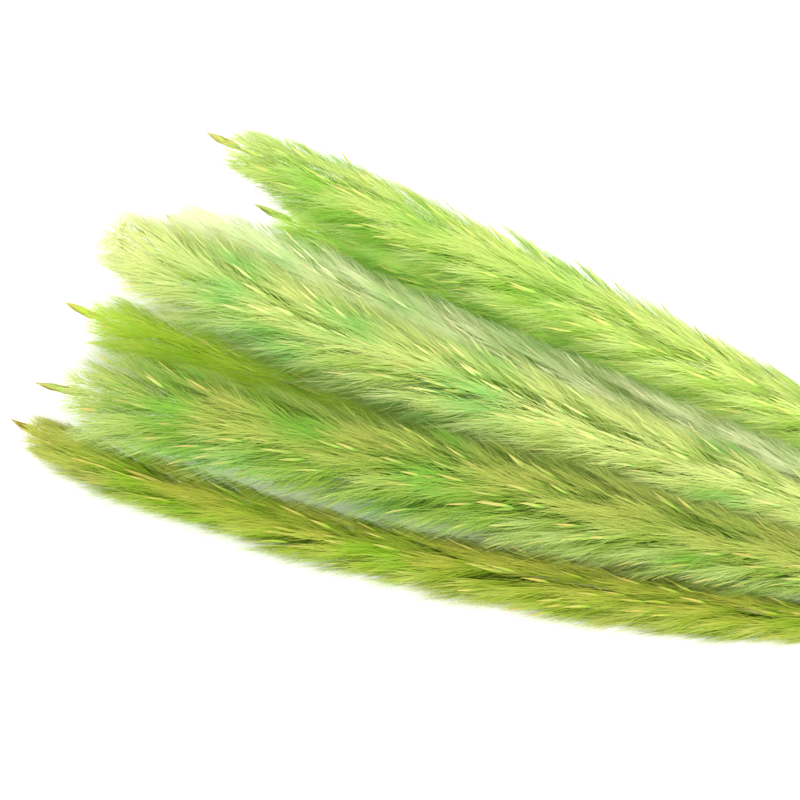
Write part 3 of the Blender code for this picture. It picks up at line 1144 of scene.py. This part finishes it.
class ReedStageSettings(bpy.types.PropertyGroup):
    """Floor, lights and camera."""

    floor: colour_setting("Floor", "Colour of the floor", 247, 247, 247)
    sky_strength: number_setting("Sky", "Strength of the light all round", 0.95)
    key_power: number_setting("Key", "Power of the main light", 14.0, unit="POWER")
    fill_power: number_setting("Fill", "Power of the front light", 46.0, unit="POWER")
    azimuth: angle_setting("Azimuth", "Camera angle round the bunch", 18)
    elevation: angle_setting("Elevation", "Camera angle above the floor", 52)
    distance: size_setting("Distance", "From the camera to the plumes", 1.05)
    span: size_setting("View width", "Width seen at the plumes", 0.256)
    ahead: size_setting("Ahead", "From the tie to the middle of the view, along the bunch", 0.330)
    aside: size_setting("Aside", "From the tie to the middle of the view, across the bunch", 0.0065)
    height: size_setting("Height", "Height of the middle of the view", 0.020)


def mix_dyes(dyes):
    """Fills the list of dyes with this bunch's own."""
    for number, mix in enumerate(DYES, 1):
        dye = dyes.add()
        dye.name = f"Reed {number}"
        for label, value in mix._asdict().items():
            setattr(dye, label, linear(*value) if isinstance(value, tuple) else value)


# ---------------------------------------------------------------------------
# Operators


def finish_piece(obj, node, stands_in=True):
    """Puts a piece on the bunch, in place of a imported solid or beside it."""
    obj.data.shade_smooth()
    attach(obj, BODY)
    if stands_in:
        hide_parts(node)


class REEDS_OT_plume_fluff(bpy.types.Operator):
    """Grows the hair of every plume"""

    bl_idname = "reeds.plume_fluff"
    bl_label = "Plume fluff"

    def execute(self, context):
        plumes = context.scene.reed_plumes
        growth = fluff_growth()
        for number, dye in enumerate(plumes.dyes, 1):
            spine = spine_lift(plume_rows(number), plumes.spine)
            rows = hairy_rows(number, dye)
            name = f"reed_{number:02d}_fluff"
            values = {
                "Locks": plumes.locks,
                "Hairs in a lock": round(plumes.hairs * dye.fullness),
                "Lock reach": plumes.lock_reach,
                "Lock spread": plumes.lock_spread,
                "Hair length": plumes.hair_length,
                "Hair width": plumes.hair_width,
                "Curl": plumes.curl,
                "Droop": plumes.droop,
                "Sag": plumes.sag,
                "Stray share": plumes.stray_share,
                "Bare tip": dye.bare_tip,
                "Full girth": float(rows[:, 3].max()),
                "Seed": 100 * number,
                "Material": fluff_material(f"reed_{number:02d}_hair", dye),
            }
            fluff = grow(name, line_mesh(name, rows, spine=spine), growth, values)
            finish_piece(fluff, f"reed_{number:02d}_plume")
        return {"FINISHED"}


class REEDS_OT_seed_scales(bpy.types.Operator):
    """Sets the seed scales on every plume and the stalk that carries them"""

    bl_idname = "reeds.seed_scales"
    bl_label = "Seed scales and stalks"

    def execute(self, context):
        plumes = context.scene.reed_plumes
        growth = scales_growth()
        stalk_growth = tube_growth("stalk", 6)
        stalk_material = cane_material("dyed_stalk", context.scene.reed_canes)
        for number, dye in enumerate(plumes.dyes, 1):
            spine = spine_lift(plume_rows(number), plumes.spine)
            rows = hairy_rows(number, dye)
            name = f"reed_{number:02d}_seed_scales"
            material = scale_material(f"reed_{number:02d}_scale", dye)
            values = {
                "Scales": round(plumes.scales * dye.fullness),
                "End scales": 9,
                "Scale length": plumes.scale_length,
                "Scale width": plumes.scale_width,
                "End length": plumes.end_length * dye.end_share,
                "Seed": 100 * number + 50,
                "Material": material,
            }
            scales = grow(name, line_mesh(name, rows, spine=spine), growth, values)
            finish_piece(scales, f"reed_{number:02d}_plume", stands_in=False)
            rows, share = stalk_rows(number, spine, plumes)
            name = f"reed_{number:02d}_stalk"
            nil = np.zeros(len(rows))
            numbers = {"along": share, "inside": nil, "joint": nil}
            stalk = grow_tube(name, rows, stalk_growth, stalk_material, **numbers)
            finish_piece(stalk, f"reed_{number:02d}_plume", stands_in=False)
        return {"FINISHED"}


class REEDS_OT_canes(bpy.types.Operator):
    """Makes the hollow canes"""

    bl_idname = "reeds.canes"
    bl_label = "Canes"

    def execute(self, context):
        settings = context.scene.reed_canes
        growth = tube_growth("hollow_cane", 16)
        material = cane_material("dyed_cane", settings)
        for number in range(1, len(DYES) + 1):
            rows, numbers = hollow_cane_rows(number, settings.wall_share, settings.hollow_length)
            cane = grow_tube(f"reed_{number:02d}_cane", rows, growth, material, **numbers)
            finish_piece(cane, f"reed_{number:02d}_stem")
        return {"FINISHED"}


class REEDS_OT_twine_tie(bpy.types.Operator):
    """Winds the twine round the canes and knots it"""

    bl_idname = "reeds.twine_tie"
    bl_label = "Twine tie"

    def execute(self, context):
        settings = context.scene.reed_twine
        routes = twine_lines(settings)
        values = {
            "Thickness": settings.thickness,
            "Lay": settings.lay,
            "Fibres": settings.fibres,
            "Fibre length": settings.fibre_length,
            "Material": twine_material(settings),
        }
        tie = grow("jute_tie", twine_mesh("jute_tie", routes), twine_growth(), values)
        finish_piece(tie, "twine_tie")
        return {"FINISHED"}


def look_at(obj, target):
    obj.rotation_mode = "QUATERNION"
    obj.rotation_quaternion = (Vector(target) - obj.location).to_track_quat("-Z", "Y")


def soft_light(name, place, target, size, power):
    lamp = bpy.data.lights.new(name, "AREA")
    lamp.shape = "DISK"
    lamp.size = size
    lamp.energy = power
    obj = bpy.data.objects.new(name, lamp)
    obj.location = place
    look_at(obj, target)
    bpy.context.scene.collection.objects.link(obj)


def studio_floor(colour):
    """A wide sheet of pale paper."""
    mesh = bpy.data.meshes.new("studio_floor")
    corners = [(-1, -1), (1, -1), (1, 1), (-1, 1)]
    mesh.from_pydata([(x * FLOOR_HALF, y * FLOOR_HALF, 0.0) for x, y in corners], [], [(0, 1, 2, 3)])
    floor = bpy.data.objects.new("studio_floor", mesh)
    bpy.context.scene.collection.objects.link(floor)
    paper, tree, shader, _ = shader_tree("pale_paper")
    grain = noise(tree, object_place(tree), 900.0, 3.0)
    shaded = tuple(channel * 0.985 for channel in colour)
    tree.feed(shader.inputs["Base Color"], blended(tree, grain, shaded, colour))
    shader.inputs["Roughness"].default_value = 0.9
    mesh.materials.append(paper)


class REEDS_OT_stage(bpy.types.Operator):
    """Makes the floor, the lights and the camera"""

    bl_idname = "reeds.stage"
    bl_label = "Stage"

    def execute(self, context):
        scene = context.scene
        stage = scene.reed_stage
        studio_floor(tuple(stage.floor))
        world = bpy.data.worlds.new("studio")
        world.use_nodes = True
        scene.world = world
        sky = world.node_tree.nodes["Background"]
        sky.inputs["Color"].default_value = (1.0, 1.0, 1.0, 1.0)
        sky.inputs["Strength"].default_value = stage.sky_strength
        low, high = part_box("twine_tie")
        tie = (low + high) / 2
        middle = Vector((tie.x - stage.ahead, tie.y + stage.aside, stage.height))
        soft_light("key_light", middle + Vector(KEY_LIGHT_PLACE), middle, 0.8, stage.key_power)
        soft_light("fill_light", middle + Vector(FILL_LIGHT_PLACE), middle, 1.2, stage.fill_power)

        camera = bpy.data.cameras.new("camera")
        camera.sensor_width = 36.0
        camera.lens = camera.sensor_width * stage.distance / stage.span
        camera.clip_start = 0.01
        camera.dof.use_dof = False
        eye = bpy.data.objects.new("camera", camera)
        turn, rise = stage.azimuth, stage.elevation
        back = (math.sin(turn) * math.cos(rise), -math.cos(turn) * math.cos(rise), math.sin(rise))
        eye.location = middle + Vector(back) * stage.distance
        look_at(eye, middle)
        scene.collection.objects.link(eye)
        scene.camera = eye
        scene.view_settings.view_transform = "Standard"
        return {"FINISHED"}


# ---------------------------------------------------------------------------
# Panel and registration

STEPS = (
    REEDS_OT_stage,
    REEDS_OT_plume_fluff,
    REEDS_OT_seed_scales,
    REEDS_OT_canes,
    REEDS_OT_twine_tie,
)
SETTINGS = {
    "reed_plumes": ReedPlumeSettings,
    "reed_canes": ReedCaneSettings,
    "reed_twine": ReedTwineSettings,
    "reed_stage": ReedStageSettings,
}


class REEDS_PT_bunch(bpy.types.Panel):
    """Lists the steps and their settings"""

    bl_idname = "REEDS_PT_bunch"
    bl_label = "Reed bunch"
    bl_space_type = "VIEW_3D"
    bl_region_type = "UI"
    bl_category = "Reeds"

    def draw(self, context):
        layout = self.layout
        for step in STEPS:
            layout.operator(step.bl_idname)
        groups = [getattr(context.scene, name) for name in SETTINGS]
        for group in (*groups, *context.scene.reed_plumes.dyes):
            box = layout.box()
            for name in group.__annotations__:
                if name != "dyes":
                    box.prop(group, name)


CLASSES = (ReedDye, *SETTINGS.values(), *STEPS, REEDS_PT_bunch)


def register():
    for cls in CLASSES:
        bpy.utils.register_class(cls)
    for name, group in SETTINGS.items():
        setattr(bpy.types.Scene, name, PointerProperty(type=group))


def unregister():
    for name in SETTINGS:
        delattr(bpy.types.Scene, name)
    for cls in reversed(CLASSES):
        bpy.utils.unregister_class(cls)


def main():
    register()
    mix_dyes(bpy.context.scene.reed_plumes.dyes)
    for step in STEPS:
        group, name = step.bl_idname.split(".")
        getattr(getattr(bpy.ops, group), name)()


if __name__ == "__main__":
    main()
